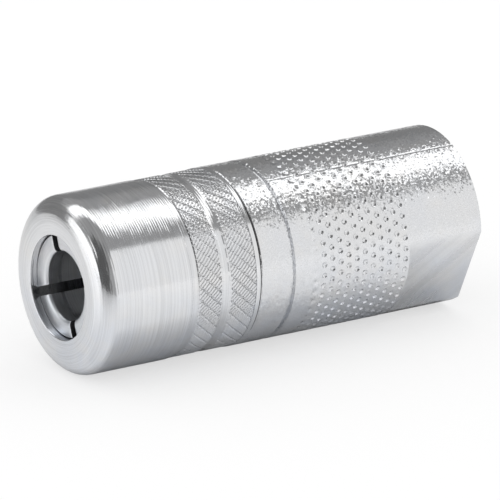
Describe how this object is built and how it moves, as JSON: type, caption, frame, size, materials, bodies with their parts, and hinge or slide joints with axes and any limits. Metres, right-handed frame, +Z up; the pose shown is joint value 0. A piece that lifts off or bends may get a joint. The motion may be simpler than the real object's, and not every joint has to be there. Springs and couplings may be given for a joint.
{
  "type": "grease coupler",
  "caption": "Straight hydraulic grease coupler with spring-loaded gripping jaws in a rounded nose cap, a knurled and dimpled body, wrench flats and a threaded inlet.",
  "frame": {"origin": "centre of the inlet thread's mouth, on the rear face", "axes": "+X along the axis, out of the inlet thread's mouth; the nose points to -X; +Z up as the coupler lies in the picture"},
  "size_m": [0.0365, 0.015, 0.015],
  "materials": {
    "cap_steel": "turned and zinc-plated, satin",
    "body_steel": "grained and zinc-plated",
    "jaw_steel": "hardened and zinc-plated",
    "inner_steel": "turned",
    "spring_wire": "drawn spring wire",
    "ball_steel": "polished",
    "seal_rubber": "matt black"
  },
  "bodies": {
    "housing": {"nose_cap": "cap_steel", "body": "body_steel", "main_spring": "spring_wire", "spring_seat": "inner_steel", "check_spring": "spring_wire"},
    "piston_set": {"piston": "inner_steel", "seal": "seal_rubber", "piston_o_ring": "seal_rubber", "jaw_ring": "spring_wire"},
    "jaw_a": {"jaw_1": "jaw_steel"},
    "jaw_b": {"jaw_2": "jaw_steel"},
    "jaw_c": {"jaw_3": "jaw_steel"},
    "jaw_d": {"jaw_4": "jaw_steel"},
    "valve_ball": {"check_ball": "ball_steel"}
  },
  "joints": [
    {"name": "piston_slide", "type": "slide", "parent": "housing", "child": "piston_set", "axis": [1, 0, 0], "range_m": [0, 0.0015], "stiffness_N_per_m": 3000, "springref_m": -0.003, "deforming": ["main_spring"]},
    {"name": "jaw_a_slide", "type": "slide", "parent": "housing", "child": "jaw_a", "axis": [0.9397, 0.3137, 0.1364], "range_m": [0, 0.0016]},
    {"name": "jaw_b_slide", "type": "slide", "parent": "housing", "child": "jaw_b", "axis": [0.9397, -0.1364, 0.3137], "range_m": [0, 0.0016]},
    {"name": "jaw_c_slide", "type": "slide", "parent": "housing", "child": "jaw_c", "axis": [0.9397, -0.3137, -0.1364], "range_m": [0, 0.0016]},
    {"name": "jaw_d_slide", "type": "slide", "parent": "housing", "child": "jaw_d", "axis": [0.9397, 0.1364, -0.3137], "range_m": [0, 0.0016]},
    {"name": "ball_lift", "type": "slide", "parent": "housing", "child": "valve_ball", "axis": [-1, 0, 0], "range_m": [0, 0.0008], "stiffness_N_per_m": 300, "springref_m": -0.0008, "deforming": ["check_spring"]}
  ],
  "couplings": [
    {"joint": "jaw_a_slide", "follows": "piston_slide", "ratio": 1.0642},
    {"joint": "jaw_b_slide", "follows": "piston_slide", "ratio": 1.0642},
    {"joint": "jaw_c_slide", "follows": "piston_slide", "ratio": 1.0642},
    {"joint": "jaw_d_slide", "follows": "piston_slide", "ratio": 1.0642}
  ]
}
